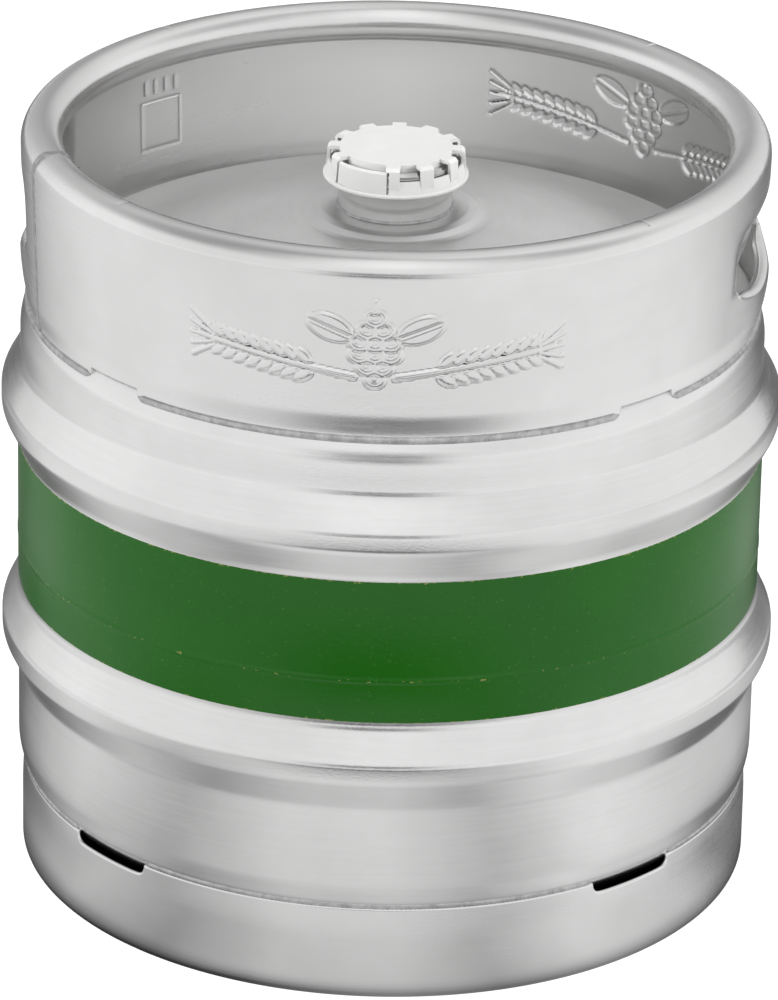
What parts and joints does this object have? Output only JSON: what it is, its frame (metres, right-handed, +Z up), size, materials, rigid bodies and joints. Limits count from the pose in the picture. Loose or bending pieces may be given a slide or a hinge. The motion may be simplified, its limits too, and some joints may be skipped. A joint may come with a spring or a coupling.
{
  "type": "beer keg",
  "caption": "Stainless steel beer keg with two rolling rings, green painted band, hand holes, extractor spear and white dust cap.",
  "frame": {"origin": "centre of the foot ring, on the floor", "axes": "+Z up along the keg's axis, the embossed front faces -Y, the hand holes face +X and -X"},
  "size_m": [0.3988, 0.399, 0.4],
  "materials": {
    "steel_blasted": "satin, bead-blasted and worn",
    "steel_turned": "turned, bright",
    "steel_tube": "drawn tube",
    "spring_steel": "drawn wire",
    "weld_bead": "weld bead, matt",
    "green_paint": "semi-gloss paint",
    "white_plastic": "moulded, matt",
    "black_rubber": "moulded"
  },
  "bodies": {
    "keg": {"lower_shell": "steel_blasted", "upper_shell": "steel_blasted", "mid_weld": "weld_bead", "paint_band": "green_paint", "top_chime": "steel_blasted", "top_chime_seam": "weld_bead", "top_chime_welds": "weld_bead", "bottom_chime": "steel_blasted", "bottom_chime_seam": "weld_bead", "bottom_chime_welds": "weld_bead", "neck": "steel_turned", "neck_weld": "weld_bead", "spear_body": "steel_turned", "neck_seal": "black_rubber", "retaining_ring": "spring_steel", "gas_spring": "spring_steel", "spring_retainer": "steel_turned"},
    "riser": {"gas_seal": "black_rubber", "riser_head": "steel_turned", "down_tube": "steel_tube", "beer_spring": "spring_steel", "beer_spring_seat": "steel_turned"},
    "plug": {"beer_plug": "black_rubber"},
    "cap": {"cap": "white_plastic"},
    "tab": {"cap_tab": "white_plastic"}
  },
  "joints": [
    {"name": "cap_lift", "type": "slide", "parent": "keg", "child": "cap", "axis": [0, 0, 1], "range_m": [0, 0.075]},
    {"name": "cap_tab_fold", "type": "hinge", "parent": "cap", "child": "tab", "pos_m": [-0.01711, -0.03087, 0.3734], "axis": [0.8746, -0.4848, 0], "range_deg": [0, 80]},
    {"name": "gas_valve", "type": "slide", "parent": "keg", "child": "riser", "axis": [0, 0, -1], "range_m": [0, 0.008], "stiffness_N_per_m": 3000, "springref_m": -0.01, "deforming": ["gas_spring"]},
    {"name": "beer_valve", "type": "slide", "parent": "riser", "child": "plug", "axis": [0, 0, -1], "range_m": [0, 0.006], "stiffness_N_per_m": 800, "springref_m": -0.008, "deforming": ["beer_spring"]}
  ]
}
